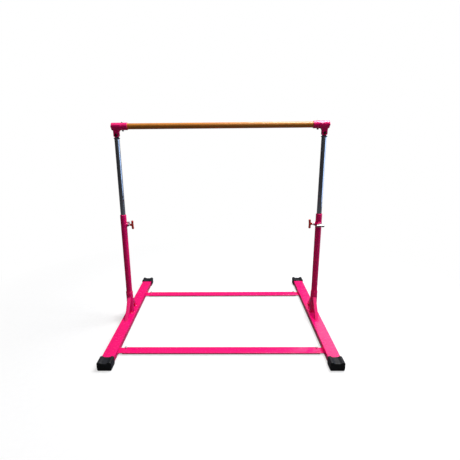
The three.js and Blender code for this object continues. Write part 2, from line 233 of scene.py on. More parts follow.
def revolve(profile, segments=96, close=False):
    """Turns (radius, z) pairs about +Z; an open profile starts and ends on the axis."""
    if close:
        return loft([ring(radius, z, segments) for radius, z in profile], True)
    rings = [ring(radius, z, segments) for radius, z in profile[1:-1]]
    return loft(rings, start=(0, 0, profile[0][1]), end=(0, 0, profile[-1][1]))


def cylinder(radius, low, high, segments):
    return revolve([(0, low), (radius, low), (radius, high), (0, high)], segments)


def tube(radius, bore, low, high, segments, edge, rows):
    """Round tube with softened ends; extra rows keep long walls well shaped."""
    outer = [(radius, low + (high - low) * i / rows) for i in range(1, rows)]
    inner = [(bore, high + (low - high) * i / rows) for i in range(1, rows)]
    loop = [(bore, low, edge), (radius, low, edge), *outer]
    loop += [(radius, high, edge), (bore, high, edge), *inner]
    return revolve(rounded(loop, 4, True), segments, True)


def hex_outline(flats, soft=0.45, steps=9):
    """Hexagon this wide over its flats, with softened corners and divided sides."""
    radius = flats / math.sqrt(3)
    corners = [
        (radius * math.cos(math.pi / 3 * i), radius * math.sin(math.pi / 3 * i), soft)
        for i in range(6)
    ]
    points = rounded(corners, 3, True)
    out = []
    for here, after in zip(points, points[1:] + points[:1]):
        out.append(here)
        if math.dist(here, after) > flats * 0.2:
            for i in range(1, steps):
                out.append(tuple(h + (a - h) * i / steps for h, a in zip(here, after)))
    return np.array(out)


class RingStack:
    """Rings along +Z that share the directions of one outline, for heads and nuts."""

    def __init__(self, outline):
        self.reach = np.hypot(outline[:, 0], outline[:, 1])
        self.directions = (outline / self.reach[:, None]).T
        self.rings = []

    def at(self, *stations):
        """Adds a ring for each (radius, z); either may vary round the ring."""
        for radius, z in stations:
            heights = np.broadcast_to(z, self.reach.shape)
            self.rings.append(np.column_stack([*(radius * self.directions), heights]))
        return self

    def prism(self, low, high, chamfer_low=True, face_radius=None):
        """The outline from low to high with turned 30 degree chamfers."""
        face = self.reach.min() * 0.95 if face_radius is None else face_radius
        chamfer = (self.reach - face) * math.tan(math.radians(30))
        if chamfer_low:
            self.at((face, low), (self.reach, low + chamfer))
        else:
            self.at((self.reach, low))
        return self.at((self.reach, high - chamfer), (face, high))


def hex_nut(flats, low, high, bore, chamfer=0.7):
    nut = RingStack(hex_outline(flats)).prism(low, high)
    nut.at((bore + chamfer, high), (bore, high - chamfer))
    nut.at((bore, low + chamfer), (bore + chamfer, low))
    return loft(nut.rings, True)


def round_rect(width, height, radius, steps=6):
    x, y = width / 2, height / 2
    corners = [(-x, -y, radius), (x, -y, radius), (x, y, radius), (-x, y, radius)]
    return np.array(rounded(corners, steps, True))


def flat_ring(outline, z):
    return np.column_stack([outline, np.full(len(outline), z)])


def bar_rings(width, height, radius, length, rows, edge, steps):
    """Rings up the outside of a bar along +Z from 0 to length, with softened ends."""
    outer = round_rect(width, height, radius, steps)
    soft = round_rect(width - 2 * edge, height - 2 * edge, radius - edge, steps)
    sides = [flat_ring(outer, edge + (length - 2 * edge) * i / rows) for i in range(rows + 1)]
    return [flat_ring(soft, 0.0), *sides, flat_ring(soft, length)]


def box_tube(width, height, radius, length, wall=2.0):
    """Hollow rectangular tube along +Z from 0 to length."""
    rings = bar_rings(width, height, radius, length, rows=24, edge=0.35, steps=6)
    inner = round_rect(width - 2 * wall, height - 2 * wall, radius - wall)
    return loft(rings + [flat_ring(inner, length), flat_ring(inner, 0.0)], True)


def wire_rings(points, radii, across, rise, sides=10):
    """Round sections at points, in the planes of the unit vectors across and rise."""
    angles = ring_angles(sides)
    return [
        points[i] + radii[i] * (np.outer(np.cos(angles), across[i])
                                + np.outer(np.sin(angles), rise[i]))
        for i in range(len(points))
    ]


def bead(path, radius, up=(0, 0, 1), phase=0.0):
    """Weld bead: a scalloped round run along a closed path."""
    scallop_length, scallop_depth, step = 2.7, 0.16, 0.6
    path = np.asarray(path, float)
    gaps = np.linalg.norm(np.roll(path, -1, 0) - path, axis=1)
    reached = np.concatenate([[0], np.cumsum(gaps)])
    total = reached[-1]
    count = int(total / step)
    scallops = round(total / scallop_length)
    run = np.arange(count) * total / count
    closed = np.vstack([path, path[:1]])
    points = np.column_stack([np.interp(run, reached, closed[:, i]) for i in range(3)])
    tangent = unit(np.roll(points, -1, 0) - np.roll(points, 1, 0))
    across = unit(np.cross(tangent, np.array(up, float)))
    rise = np.cross(across, tangent)
    part = (run / total * scallops + phase) % 1.0
    wobble = 0.05 * np.sin(run * 0.31 + 1.3 + phase) + 0.04 * np.sin(run * 0.73 + phase * 5)
    radii = radius * (1 + scallop_depth * (np.sin(math.pi * part**0.65) - 0.6) + wobble)
    return loft(wire_rings(points, radii, across, rise), True)


def thread_depth(z, segments):
    """Depth of the thread groove round a ring at z, from 0 to 1."""
    phase = (z / THREAD_PITCH - ring_angles(segments) / (2 * math.pi)) % 1.0
    return np.clip(1.25 * (1 - np.abs(2 * phase - 1) * 1.25), 0, 1)


# ------------------------------------------------------------------ blended solids
# A solid is a function of x, y, z that is negative inside and near to a distance in mm.
def soft_min(a, b, blend):
    weight = np.clip(0.5 + 0.5 * (b - a) / blend, 0, 1)
    return b * (1 - weight) + a * weight - blend * weight * (1 - weight)


def soft_max(a, b, blend):
    return -soft_min(-a, -b, blend)


def corner_distance(a, b, radius):
    """Joins two distances, each taken from the corner's centre, with a round corner."""
    outside = np.hypot(np.maximum(a, 0), np.maximum(b, 0))
    return outside + np.minimum(np.maximum(a, b), 0) - radius


def mesh_solid(solid, low, high, cell):
    """Surface net: one vertex in each grid cell the surface crosses, drawn onto it."""
    cell = cell * COARSE
    counts = [int(math.ceil((b - a) / cell)) + 1 for a, b in zip(low, high)]
    axes = [a + cell * np.arange(count) for a, count in zip(low, counts)]
    values = solid(*np.meshgrid(*axes, indexing="ij", sparse=True)) + np.zeros(counts)
    inside = values < 0
    shape = tuple(count - 1 for count in counts)
    filled = np.zeros(shape, np.uint8)
    for i, j, k in np.ndindex(2, 2, 2):
        filled += inside[i : i + shape[0], j : j + shape[1], k : k + shape[2]]
    active = (filled > 0) & (filled < 8)
    cells = np.argwhere(active)
    index = np.full(shape, -1, np.int64)
    index[active] = np.arange(len(cells))

    # each vertex starts at the mean of its cell's edge crossings
    total, hits = np.zeros((len(cells), 3)), np.zeros(len(cells))
    for axis in range(3):
        second, third = (axis + 1) % 3, (axis + 2) % 3
        for i, j in np.ndindex(2, 2):
            start = cells.copy()
            start[:, second] += i
            start[:, third] += j
            end = start.copy()
            end[:, axis] += 1
            value, end_value = values[tuple(start.T)], values[tuple(end.T)]
            crossed = (value < 0) != (end_value < 0)
            point = start.astype(float)
            point[:, axis] += np.where(crossed, value / np.where(crossed, value - end_value, 1), 0)
            total += np.where(crossed[:, None], point, 0)
            hits += crossed
    verts = np.array(low, float) + cell * total / hits[:, None]

    # a quad round every grid edge that crosses the surface
    quads = []
    for axis in range(3):
        second, third = (axis + 1) % 3, (axis + 2) % 3
        before = np.take(inside, range(counts[axis] - 1), axis)
        beyond = np.take(inside, range(1, counts[axis]), axis)
        edges = np.argwhere(before != beyond)
        inner = (edges[:, second] > 0) & (edges[:, third] > 0)
        inner &= (edges[:, second] < counts[second] - 1) & (edges[:, third] < counts[third] - 1)
        edges = edges[inner]
        around = []
        for i, j in ((1, 1), (0, 1), (0, 0), (1, 0)):
            neighbour = edges.copy()
            neighbour[:, second] -= i
            neighbour[:, third] -= j
            around.append(index[tuple(neighbour.T)])
        faces = np.stack(around, 1)
        flip = ~before[tuple(edges.T)]
        faces[flip] = faces[flip][:, ::-1]
        quads.append(faces)

    # three Newton steps, each held to half a cell
    probe = 0.02
    for _ in range(3):
        value = solid(*verts.T)
        slope = np.stack([
            (solid(*(verts + offset).T) - solid(*(verts - offset).T)) / (2 * probe)
            for offset in np.eye(3) * probe
        ], 1)
        step = value[:, None] * slope / np.maximum((slope * slope).sum(1), 0.25)[:, None]
        size = np.linalg.norm(step, axis=1)
        step *= np.minimum(1, 0.5 * cell / np.maximum(size, 1e-9))[:, None]
        verts = verts - step
    return Shell(verts, np.concatenate(quads))


# ------------------------------------------------------------------ materials
class Look:
    """Builds the node tree of a material or world; lengths are in metres."""

    def __init__(self, owner):
        self.owner = owner
        owner.use_nodes = True
        self.tree = owner.node_tree
        self.tree.nodes.clear()

    def add(self, kind, inputs=None, output=0, **settings):
        """A new node's output, or the node itself when output is None."""
        node = self.tree.nodes.new(kind)
        for name, value in settings.items():
            setattr(node, name, value)
        for name, value in (inputs or {}).items():
            socket = node.inputs[name]
            if isinstance(value, bpy.types.NodeSocket):
                self.tree.links.new(value, socket)
            else:
                socket.default_value = (*value, 1) if socket.type == "RGBA" else value
        return node if output is None else node.outputs[output]

    def coords(self, scale=(1, 1, 1), turn=(0, 0, 0), shift=(0, 0, 0)):
        point = self.add("ShaderNodeTexCoord", output="Object")
        inputs = {"Vector": point, "Scale": scale, "Rotation": turn, "Location": shift}
        return self.add("ShaderNodeMapping", inputs)

    def noise(self, point, scale=1.0, detail=2.0, rough=0.5, distortion=0.0, output=0):
        inputs = {"Vector": point, "Scale": scale, "Detail": detail}
        inputs |= {"Roughness": rough, "Distortion": distortion}
        return self.add("ShaderNodeTexNoise", inputs, output)

    def ramp(self, value, *stops):
        """Grey ramp through stops of (position, grey)."""
        node = self.add("ShaderNodeValToRGB", {"Fac": value}, output=None)
        elements = node.color_ramp.elements
        while len(elements) < len(stops):
            elements.new(0.5)
        for element, (position, grey) in zip(elements, stops):
            element.position = position
            element.color = (grey, grey, grey, 1)
        return node.outputs[0]

    def remap(self, value, span=(0.3, 0.7), to=(0.0, 1.0)):
        return self.add("ShaderNodeMapRange", dict(enumerate((value, *span, *to))))

    def math(self, operation, a, b=0.0):
        return self.add("ShaderNodeMath", {0: a, 1: b, 2: 0.0}, operation=operation)

    def plus(self, a, b):
        return self.math("ADD", a, b)

    def times(self, a, b):
        return self.math("MULTIPLY", a, b)

    def vector(self, operation, *values, output=0):
        inputs = dict(enumerate(values))
        return self.add("ShaderNodeVectorMath", inputs, output, operation=operation)

    def mix(self, factor, a, b):
        return self.add("ShaderNodeMix", {0: factor, 6: a, 7: b}, 2, data_type="RGBA")

    def mix_shader(self, factor, a, b):
        return self.add("ShaderNodeMixShader", {0: factor, 1: a, 2: b})

    def bump(self, height, strength, distance, normal=None):
        inputs = {"Strength": strength, "Distance": distance, "Height": height}
        if normal is not None:
            inputs["Normal"] = normal
        return self.add("ShaderNodeBump", inputs)

    def surface(self, shader, kind="ShaderNodeOutputMaterial"):
        self.add(kind, {"Surface": shader}, output=None)
        return self.owner

    def finish(self, colour, roughness, normal, metallic=0.0, extra=None):
        inputs = {"Base Color": colour, "Roughness": roughness, "Metallic": metallic}
        inputs |= {"Normal": normal, **(extra or {})}
        return self.surface(self.add("ShaderNodeBsdfPrincipled", inputs))


def new_look(name):
    return Look(bpy.data.materials.new(name))


def pink_paint():
    look = new_look("pink_powder_coat")
    point = look.coords()
    broad = look.noise(point, scale=7.0, detail=3.0, rough=0.55, distortion=0.4)
    mottle = look.noise(point, scale=55.0, detail=3.0, rough=0.6)
    peel = look.noise(point, scale=780.0)
    speck = look.noise(look.coords(shift=(3, 1, 7)), scale=2600.0, detail=1.0)
    scratched = look.coords(scale=(60, 9, 60), turn=(0.2, 0.1, 0.5))
    scuff = look.noise(scratched, scale=9.0, detail=4.0, rough=0.7)
    worn = look.ramp(scuff, (0.66, 0.0), (0.78, 1.0))
    patches = look.ramp(broad, (0.3, 0.0), (0.7, 1.0))
    base = look.mix(patches, (0.82, 0.002, 0.145), (0.90, 0.004, 0.165))
    base = look.mix(look.remap(mottle, (0.35, 0.65), to=(0.0, 0.09)), base, (0.95, 0.008, 0.20))
    base = look.mix(look.times(worn, 0.10), base, (0.95, 0.08, 0.33))
    wear = look.plus(look.times(mottle, 0.6), look.times(worn, 0.35))
    rough = look.remap(wear, (0.2, 0.75), to=(0.25, 0.33))
    normal = look.bump(peel, strength=0.02, distance=0.0006)
    normal = look.bump(speck, strength=0.02, distance=0.0002, normal=normal)
    coat = {"IOR": 1.45, "Specular IOR Level": 0.34, "Coat Weight": 0.22, "Coat Roughness": 0.07}
    return look.finish(base, rough, normal, extra=coat)


def plated_tube():
    look = new_look("plated_tube_steel")
    streak = look.noise(look.coords(scale=(260, 260, 2.2)), detail=4.0, rough=0.6)
    fine = look.noise(look.coords(scale=(1500, 1500, 14)), rough=0.6)
    cloud = look.noise(look.coords(), scale=24.0, detail=3.0, rough=0.6, distortion=0.3)
    rub = look.noise(look.coords(scale=(90, 90, 700), shift=(2, 5, 1)), detail=3.0, rough=0.6)
    marks = look.ramp(rub, (0.64, 0.0), (0.74, 1.0))
    base = look.mix(look.remap(streak, (0.25, 0.75)), (0.55, 0.59, 0.68), (0.61, 0.65, 0.75))
    base = look.mix(look.remap(cloud, (0.4, 0.75), to=(0.0, 0.25)), base, (0.48, 0.50, 0.53))
    rough = look.remap(streak, (0.2, 0.8), to=(0.155, 0.175))
    rough = look.plus(rough, look.times(cloud, 0.03))
    rough = look.plus(rough, look.times(marks, 0.03))
    normal = look.bump(fine, strength=0.012, distance=0.0001)
    return look.finish(base, rough, normal, metallic=1.0)


def zinc():
    look = new_look("satin_zinc")
    point = look.coords()
    cell_inputs = {"Vector": point, "Scale": 520.0}
    cell = look.add("ShaderNodeTexVoronoi", cell_inputs, output="Color", feature="F1")
    tone = look.add("ShaderNodeRGBToBW", {"Color": cell})
    cloud = look.noise(point, scale=120.0, detail=4.0, rough=0.65)
    scratch = look.noise(look.coords(scale=(2600, 160, 900), turn=(0.5, 0.3, 0.9)))
    base = look.mix(look.remap(tone, (0.2, 0.8)), (0.50, 0.50, 0.505), (0.66, 0.66, 0.66))
    base = look.mix(look.ramp(cloud, (0.45, 0.0), (0.75, 0.75)), base, (0.34, 0.335, 0.33))
    rough = look.plus(look.remap(cloud, to=(0.24, 0.42)), look.times(tone, 0.10))
    normal = look.bump(scratch, strength=0.10, distance=0.0002)
    normal = look.bump(cloud, strength=0.10, distance=0.0004, normal=normal)
    return look.finish(base, rough, normal, metallic=1.0)


def dark_steel():
    look = new_look("blue_grey_steel")
    point = look.coords()
    rings = look.noise(look.coords(scale=(8, 8, 1900)), rough=0.6)
    cloud = look.noise(point, scale=60.0, detail=4.0, rough=0.65, distortion=0.5)
    spots = look.noise(look.coords(shift=(4, 2, 9)), scale=95.0, detail=4.0, rough=0.7)
    stain = look.ramp(spots, (0.58, 0.0), (0.72, 1.0))
    base = look.mix(look.remap(cloud), (0.075, 0.105, 0.15), (0.155, 0.20, 0.27))
    base = look.mix(look.times(stain, 0.45), base, (0.10, 0.075, 0.06))
    rough = look.plus(look.remap(cloud, to=(0.30, 0.46)), look.times(stain, 0.2))
    normal = look.bump(rings, strength=0.14, distance=0.0003)
    return look.finish(base, rough, normal, metallic=0.85)


def black_oxide():
    look = new_look("black_oxide_steel")
    point = look.coords()
    cloud = look.noise(point, scale=300.0, detail=4.0, rough=0.65)
    fine = look.noise(point, scale=3500.0)
    bare = look.ramp(cloud, (0.4, 0.0), (0.75, 1.0))
    base = look.mix(bare, (0.010, 0.011, 0.013), (0.045, 0.042, 0.038))
    rough = look.remap(cloud, to=(0.26, 0.45))
    normal = look.bump(fine, strength=0.12, distance=0.0001)
    return look.finish(base, rough, normal, metallic=0.75)


def spring_steel():
    look = new_look("spring_wire")
    cloud = look.noise(look.coords(), scale=900.0, detail=3.0, rough=0.6)
    base = look.mix(look.remap(cloud), (0.22, 0.22, 0.23), (0.42, 0.42, 0.43))
    rough = look.remap(cloud, to=(0.22, 0.4))
    normal = look.bump(cloud, strength=0.1, distance=0.0001)
    return look.finish(base, rough, normal, metallic=1.0)


def rubber():
    look = new_look("moulded_rubber")
    point = look.coords()
    dust = look.noise(point, scale=26.0, detail=5.0, rough=0.68, distortion=0.8)
    patch = look.noise(look.coords(shift=(7, 3, 2)), scale=70.0, detail=4.0, rough=0.7)
    grain = look.noise(point, scale=2100.0, rough=0.6)
    pit = look.noise(point, scale=640.0, detail=3.0, rough=0.6)
    dusty = look.ramp(dust, (0.42, 0.0), (0.74, 1.0))
    film = look.times(dusty, look.remap(patch, to=(0.25, 1.0)))
    base = look.mix(film, (0.0050, 0.0052, 0.0062), (0.016, 0.018, 0.026))
    rough = look.plus(look.remap(patch, to=(0.44, 0.60)), look.times(film, 0.12))
    normal = look.bump(grain, strength=0.16, distance=0.0003)
    normal = look.bump(pit, strength=0.10, distance=0.0005, normal=normal)
    sheen = {"Sheen Weight": 0.03, "Sheen Roughness": 0.45, "Sheen Tint": (0.45, 0.58, 0.95)}
    return look.finish(base, rough, normal, extra={"Specular IOR Level": 0.30, **sheen})


def red_plastic():
    look = new_look("red_moulded_plastic")
    point = look.coords()
    flow_coords = look.coords(scale=(60, 60, 22))
    flow = look.noise(flow_coords, detail=3.0, rough=0.55, distortion=0.7)
    grain = look.noise(point, scale=1500.0, rough=0.55)
    wear = look.noise(look.coords(shift=(1, 8, 3)), scale=150.0, detail=4.0, rough=0.7)
    worn = look.ramp(wear, (0.56, 0.0), (0.72, 1.0))
    base = look.mix(look.remap(flow), (0.50, 0.014, 0.010), (0.66, 0.028, 0.016))
    base = look.mix(look.times(worn, 0.30), base, (0.72, 0.10, 0.07))
    rough = look.plus(look.remap(flow, to=(0.30, 0.42)), look.times(worn, 0.14))
    normal = look.bump(grain, strength=0.10, distance=0.0003)
    normal = look.bump(flow, strength=0.05, distance=0.0012, normal=normal)
    scatter = {"Subsurface Weight": 0.06, "Subsurface Radius": (0.004, 0.0008, 0.0006)}
    return look.finish(base, rough, normal, extra={"Specular IOR Level": 0.45, **scatter})


def bar_wood():
    look = new_look("varnished_wood")
    # growth rings about a pith off to one side, drawn out along the bar
    point = look.coords(shift=(0, 0.021, 0.034 - BAR_Z * MM))
    bend = look.noise(look.coords(scale=(1.3, 9, 9)), output="Color")
    bent = look.vector("MULTIPLY_ADD", bend, (0.0, 0.010, 0.010), point)
    flat = look.vector("MULTIPLY", bent, (0.02, 1.0, 1.0))
    distance = look.vector("LENGTH", flat, output="Value")
    rings_per_metre = 430.0
    growth = look.math("FRACT", look.times(distance, rings_per_metre))
    late = look.ramp(growth, (0.0, 0.05), (0.55, 0.25), (0.88, 1.0), (1.0, 0.05))
    streak = look.noise(look.coords(scale=(6, 260, 260)), detail=4.0, rough=0.65)
    pore = look.noise(look.coords(scale=(34, 1500, 1500)), detail=3.0, rough=0.6)
    pores = look.ramp(pore, (0.57, 0.0), (0.68, 1.0))
    board = look.noise(look.coords(scale=(1.1, 14, 14)))
    base = look.mix(look.remap(streak), (0.66, 0.240, 0.022), (0.47, 0.145, 0.012))
    base = look.mix(look.times(late, 0.45), base, (0.27, 0.075, 0.010))
    base = look.mix(look.times(pores, 0.42), base, (0.15, 0.045, 0.008))
    base = look.mix(look.remap(board, (0.35, 0.7), to=(0.0, 0.32)), base, (0.66, 0.30, 0.045))
    rough = look.plus(look.remap(streak, to=(0.34, 0.46)), look.times(pores, 0.12))
    normal = look.bump(pores, strength=0.10, distance=0.0003)
    normal = look.bump(streak, strength=0.06, distance=0.0004, normal=normal)
    varnish = {"Specular IOR Level": 0.30, "Coat Weight": 0.20, "Coat Roughness": 0.13}
    return look.finish(base, rough, normal, extra=varnish)


MATERIAL = {
    "pink_paint": pink_paint(),
    "plated_tube": plated_tube(),
    "zinc": zinc(),
    "dark_steel": dark_steel(),
    "black_oxide": black_oxide(),
    "spring_steel": spring_steel(),
    "boot_rubber": rubber(),
    "red_plastic": red_plastic(),
    "bar_wood": bar_wood(),
}


# ------------------------------------------------------------------ objects
def add_object(name, data):
    thing = bpy.data.objects.new(name, data)
    bpy.context.scene.collection.objects.link(thing)
    return thing


def remove_object(thing):
    mesh = thing.data
    bpy.data.objects.remove(thing)
    bpy.data.meshes.remove(mesh)


def smooth(mesh, angle):
    mesh.shade_smooth()
    mesh.set_sharp_from_angle(angle=math.radians(angle))


def make(name, shell, material=None, angle=SMOOTH_ANGLE, outward=True):
    """Mesh object from a shell; outward turns all its faces to point out."""
    mesh = bpy.data.meshes.new(name)
    mesh.vertices.add(len(shell.verts))
    mesh.vertices.foreach_set("co", (shell.verts * MM).astype(np.float32).ravel())
    loops = np.concatenate([shell.quads.ravel(), shell.tris.ravel()])
    quad_starts = np.arange(len(shell.quads)) * 4
    tri_starts = len(shell.quads) * 4 + np.arange(len(shell.tris)) * 3
    starts = np.concatenate([quad_starts, tri_starts])
    mesh.loops.add(len(loops))
    mesh.loops.foreach_set("vertex_index", loops.astype(np.int32))
    mesh.polygons.add(len(starts))
    mesh.polygons.foreach_set("loop_start", starts.astype(np.int32))
    mesh.update(calc_edges=True)
    mesh.validate()
    if outward:
        edit = bmesh.new()
        edit.from_mesh(mesh)
        bmesh.ops.recalc_face_normals(edit, faces=edit.faces)
        edit.to_mesh(mesh)
        edit.free()
    smooth(mesh, angle)
    thing = add_object(name, mesh)
    if material is not None:
        mesh.materials.append(material)
    return thing


def carve(thing, cutters, angle=SMOOTH_ANGLE):
    """Cuts shells out of an object's mesh."""
    tools = [make("cutter", cutter) for cutter in cutters]
    for tool in tools:
        cut = thing.modifiers.new("cut", "BOOLEAN")
        cut.operation = "DIFFERENCE"
        cut.solver = "EXACT"
        cut.object = tool
    bpy.context.view_layer.update()
    evaluated = thing.evaluated_get(bpy.context.evaluated_depsgraph_get())
    mesh = bpy.data.meshes.new_from_object(evaluated)
    thing.modifiers.clear()
    old, name = thing.data, thing.data.name
    thing.data = mesh
    bpy.data.meshes.remove(old)
    mesh.name = name
    smooth(mesh, angle)
    while len(mesh.materials) > 1:
        mesh.materials.pop()
    for tool in tools:
        remove_object(tool)


def carved_shell(shell, cutters):
    """The carved shell, with any face of more than four corners cut to triangles."""
    thing = make("tmp", shell)
    carve(thing, cutters)
    edit = bmesh.new()
    edit.from_mesh(thing.data)
    bmesh.ops.triangulate(edit, faces=[face for face in edit.faces if len(face.verts) > 4])
    verts = np.array([vert.co[:] for vert in edit.verts], float) / MM
    faces = [[vert.index for vert in face.verts] for face in edit.faces]
    edit.free()
    remove_object(thing)
    quads = [face for face in faces if len(face) == 4]
    tris = [face for face in faces if len(face) == 3]
    return Shell(verts, quads, tris)


def stand(node, shell, cutters=(), angle=SMOOTH_ANGLE, outward=True, blend=None):
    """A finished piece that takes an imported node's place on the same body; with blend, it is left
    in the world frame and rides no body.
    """
    skin = make(node + "_skin", shell, MATERIAL[SLOT[node]], angle, outward)
    if cutters:
        carve(skin, cutters, angle)
    if blend:
        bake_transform(skin)
    else:
        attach(skin, BODY[node])
    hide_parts(node)


# ------------------------------------------------------------------ base frame
def side_rail():
    width, length, height = RAIL_HIGH - RAIL_LOW
    middle_z = (RAIL_LOW[2] + RAIL_HIGH[2]) / 2
    rail = box_tube(width, height, 3.2, length)
    return rail.moved(shift(0, RAIL_HIGH[1], middle_z) @ spin("x", 90))


def boot():
    """Rubber foot: x across, y from the mouth (0) out to the end face, z up."""
    width, length, height = BOOT_HIGH - BOOT_LOW
    pocket_depth = RAIL_HIGH[1] + 0.3 - BOOT_LOW[1]
    edge = 5.0
    dip_depth, dip_edge, dip_slope = 9.0, 35.0, 23.0
    pocket_x, pocket_z, pocket_middle_z, pocket_corner = 40.3, 20.3, 27.0, 3.0

    def solid(x, y, z):
        corner = np.where(z > height / 2, 14.0, 11.0)
        section = corner_distance(
            np.abs(x) - (width / 2 - corner),
            np.abs(z - height / 2) - (height / 2 - corner),
            corner,
        )
        # the sides draw in a little towards the floor
        section = section + 1.1 * np.clip((height * 0.55 - z) / height, 0, 1) ** 1.5
        slope = np.clip((dip_edge - np.abs(x)) / dip_slope, 0, 1)
        dip = dip_depth * slope * slope * (3 - 2 * slope)
        section = soft_max(section, (z - (height - dip)) * 0.86, 3.0)
        ends = np.abs(y - length / 2) - length / 2
        body = corner_distance(section + edge, ends + edge, edge)
        # shallow panel sunk into the end face
        panel = 0.55 * np.clip((-7.5 - section) / 4.0, 0, 1)
        body = np.maximum(body, y - (length - panel))
        pocket = corner_distance(
            np.abs(x) - pocket_x + pocket_corner,
            np.abs(z - pocket_middle_z) - pocket_z + pocket_corner,
            pocket_corner,
        )
        return soft_max(body, -np.maximum(pocket, y - pocket_depth), 1.4)

    low = (-width / 2 - 2, -2.2, -2.2)
    return mesh_solid(solid, low, (width / 2 + 2, length + 2, height + 2), 1.35)


def post_socket():
    """Round socket with a weld bead round its foot."""
    low, high = SOCKET_LOW[2], SOCKET_HIGH[2]
    wall = tube(SOCKET_RADIUS, 23.0, low, high, segments=96, edge=0.9, rows=6)
    return wall + bead(ring(SOCKET_RADIUS + 0.4, low + 0.2, 240), 3.0, phase=0.3)


def brace():
    """Rear brace: square tube from the rail's top up to the socket, with end beads."""
    foot = np.array([0.0, BRACE_FOOT_Y, RAIL_TOP])
    top = np.array([0.0, SOCKET_RADIUS, BRACE_TOP_Z])
    along = unit(top - foot)
    normal = np.cross([1.0, 0, 0], along)

    def ends(outline, floor_z, wall_radius):
        """Where the outline, run along the brace, meets a level and a round wall."""
        base = foot + outline[:, :1] * [1.0, 0, 0] + outline[:, 1:] * normal
        low = base + ((floor_z - base[:, 2]) / along[2])[:, None] * along
        wall_y = np.sqrt(wall_radius**2 - base[:, 0] ** 2)
        return low, base + ((wall_y - base[:, 1]) / along[1])[:, None] * along

    section = round_rect(BRACE_WIDTH, BRACE_WIDTH, 2.6, 5)
    low, high = ends(section, RAIL_TOP + 0.15, SOCKET_RADIUS - 0.4)
    body = loft([low + (high - low) * i / 12 for i in range(13)])
    path = round_rect(BRACE_WIDTH + 0.6, BRACE_WIDTH + 0.6, 3.0, 5)
    low, high = ends(path, RAIL_TOP + 0.1, SOCKET_RADIUS + 0.2)
    return body + bead(low, 2.0, phase=0.1) + bead(high, 1.9, up=along, phase=0.6)


def spigot(node):
    """Flat stub with a weld bead round its outer end."""
    low, high = box_mm(node)
    _, y, z = (low + high) / 2
    length, width, height = high - low
    bar_shell = loft(bar_rings(height, width, 1.1, length, rows=6, edge=0.5, steps=4))
    weld_x = high[0] - 0.2 if low[0] > 0 else low[0] + 0.2
    loop = round_rect(width + 0.6, height + 0.6, 1.4, 5)
    path = np.column_stack([np.full(len(loop), weld_x), y + loop[:, 0], z + loop[:, 1]])
    return bar_shell.moved(shift(low[0], y, z) @ TO_X) + bead(path, 2.2, up=(1, 0, 0), phase=0.4)


def cross_tube(node):
    low, high = box_mm(node)
    _, y, z = (low + high) / 2
    length, width, height = high - low
    return box_tube(height, width, 2.6, length).moved(shift(low[0], y, z) @ TO_X)


def cross_bolt_place(end, side):
    x, y, _ = middle_mm(f"cross_bolt_{end}_{side}")
    return shift(x, y)


def bolt_hole(end, side):
    return cylinder(4.4, 0, 60, 40).moved(cross_bolt_place(end, side))


def cross_bolt():
    """Low domed head at the bottom and a plain shank up into the nut."""
    profile = [  # radius, z above the head's bottom
        (0, 0), (3.0, 0.05), (5.4, 0.35), (7.2, 0.95), (8.4, 1.8), (8.9, 2.7), (9.0, 3.3),
        (8.8, 3.5), (4.4, 3.5), (4.0, 3.9), (4.0, 19.2), (3.3, 19.8), (0, 19.8),
    ]
    bottom = box_mm("cross_bolt_front_left")[0][2]
    return revolve(profile, 64).moved(shift(z=bottom))


def cross_nut():
    """Domed nut in one skin: down the bore, then up the hexagon and over the dome."""
    nut = RingStack(hex_outline(13))
    nut.at((1.0, 8.2), (4.3, 7.6), (4.3, 0.6), (4.9, 0.0))
    nut.prism(0.0, 6.5, face_radius=6.1)
    for step in range(1, 10):
        angle = math.radians(step * 10)
        nut.at((0.15 + 5.85 * math.cos(angle * 0.98), 6.9 + 4.75 * math.sin(angle)))
    bottom = box_mm("cross_nut_front_left")[0][2]
    return loft(nut.rings).moved(shift(z=bottom))


# ------------------------------------------------------------------ telescoping posts
def outer_post():
    """Tube whose mouth curves in to the inner post."""
    mouth_height, mouth_radius = 9.5, OUTER_BORE + 0.25
    loop = rounded([
        (OUTER_BORE, OUTER_BOTTOM), (OUTER_RADIUS, OUTER_BOTTOM, 0.5),
        (OUTER_RADIUS, 700), (OUTER_RADIUS, 790), (OUTER_RADIUS, 812),
    ], 4)
    for step in range(10):
        angle = math.radians(step * 10)
        loop.append((
            mouth_radius + (OUTER_RADIUS - mouth_radius) * math.cos(angle),
            OUTER_TOP - mouth_height + mouth_height * math.sin(angle),
        ))
    loop += [(OUTER_BORE, OUTER_TOP - 0.4), (OUTER_BORE, 790), (OUTER_BORE, 700)]
    return revolve(loop, 112, True)


def bosses():
    """Pin and clamp bosses with their fillets; only what stands out of the tube shows."""

    def solid(x, y, z):
        radius = np.hypot(x, y)
        from_pin, from_clamp = np.hypot(y, z), np.hypot(x, z)
        pin_boss = np.maximum(soft_max(from_pin - 13.0, -x - 30.0, 2.2), x + 6)
        clamp_boss = np.maximum(soft_max(from_clamp - 14.0, -y - 33.0, 2.4), y + 6)
        post = radius - 22.1
        body = soft_min(soft_min(post, pin_boss, 7.5), soft_min(post, clamp_boss, 7.5), 3.0)
        # keep only the wall near the bosses
        pin_reach = from_pin + np.maximum(x, 0) * 4
        clamp_reach = from_clamp + np.maximum(y, 0) * 4
        body = np.maximum(body, np.minimum(pin_reach, clamp_reach) - 25.0)
        body = np.maximum(body, 20.4 - radius)
        body = soft_max(body, -np.maximum(from_pin - PIN_BORE, x), 1.0)
        return soft_max(body, -np.maximum(from_clamp - CLAMP_BORE, y), 1.0)

    return mesh_solid(solid, (-32, -35, -27), (26, 26, 27), 0.85).moved(shift(0, 0, PIN_Z))


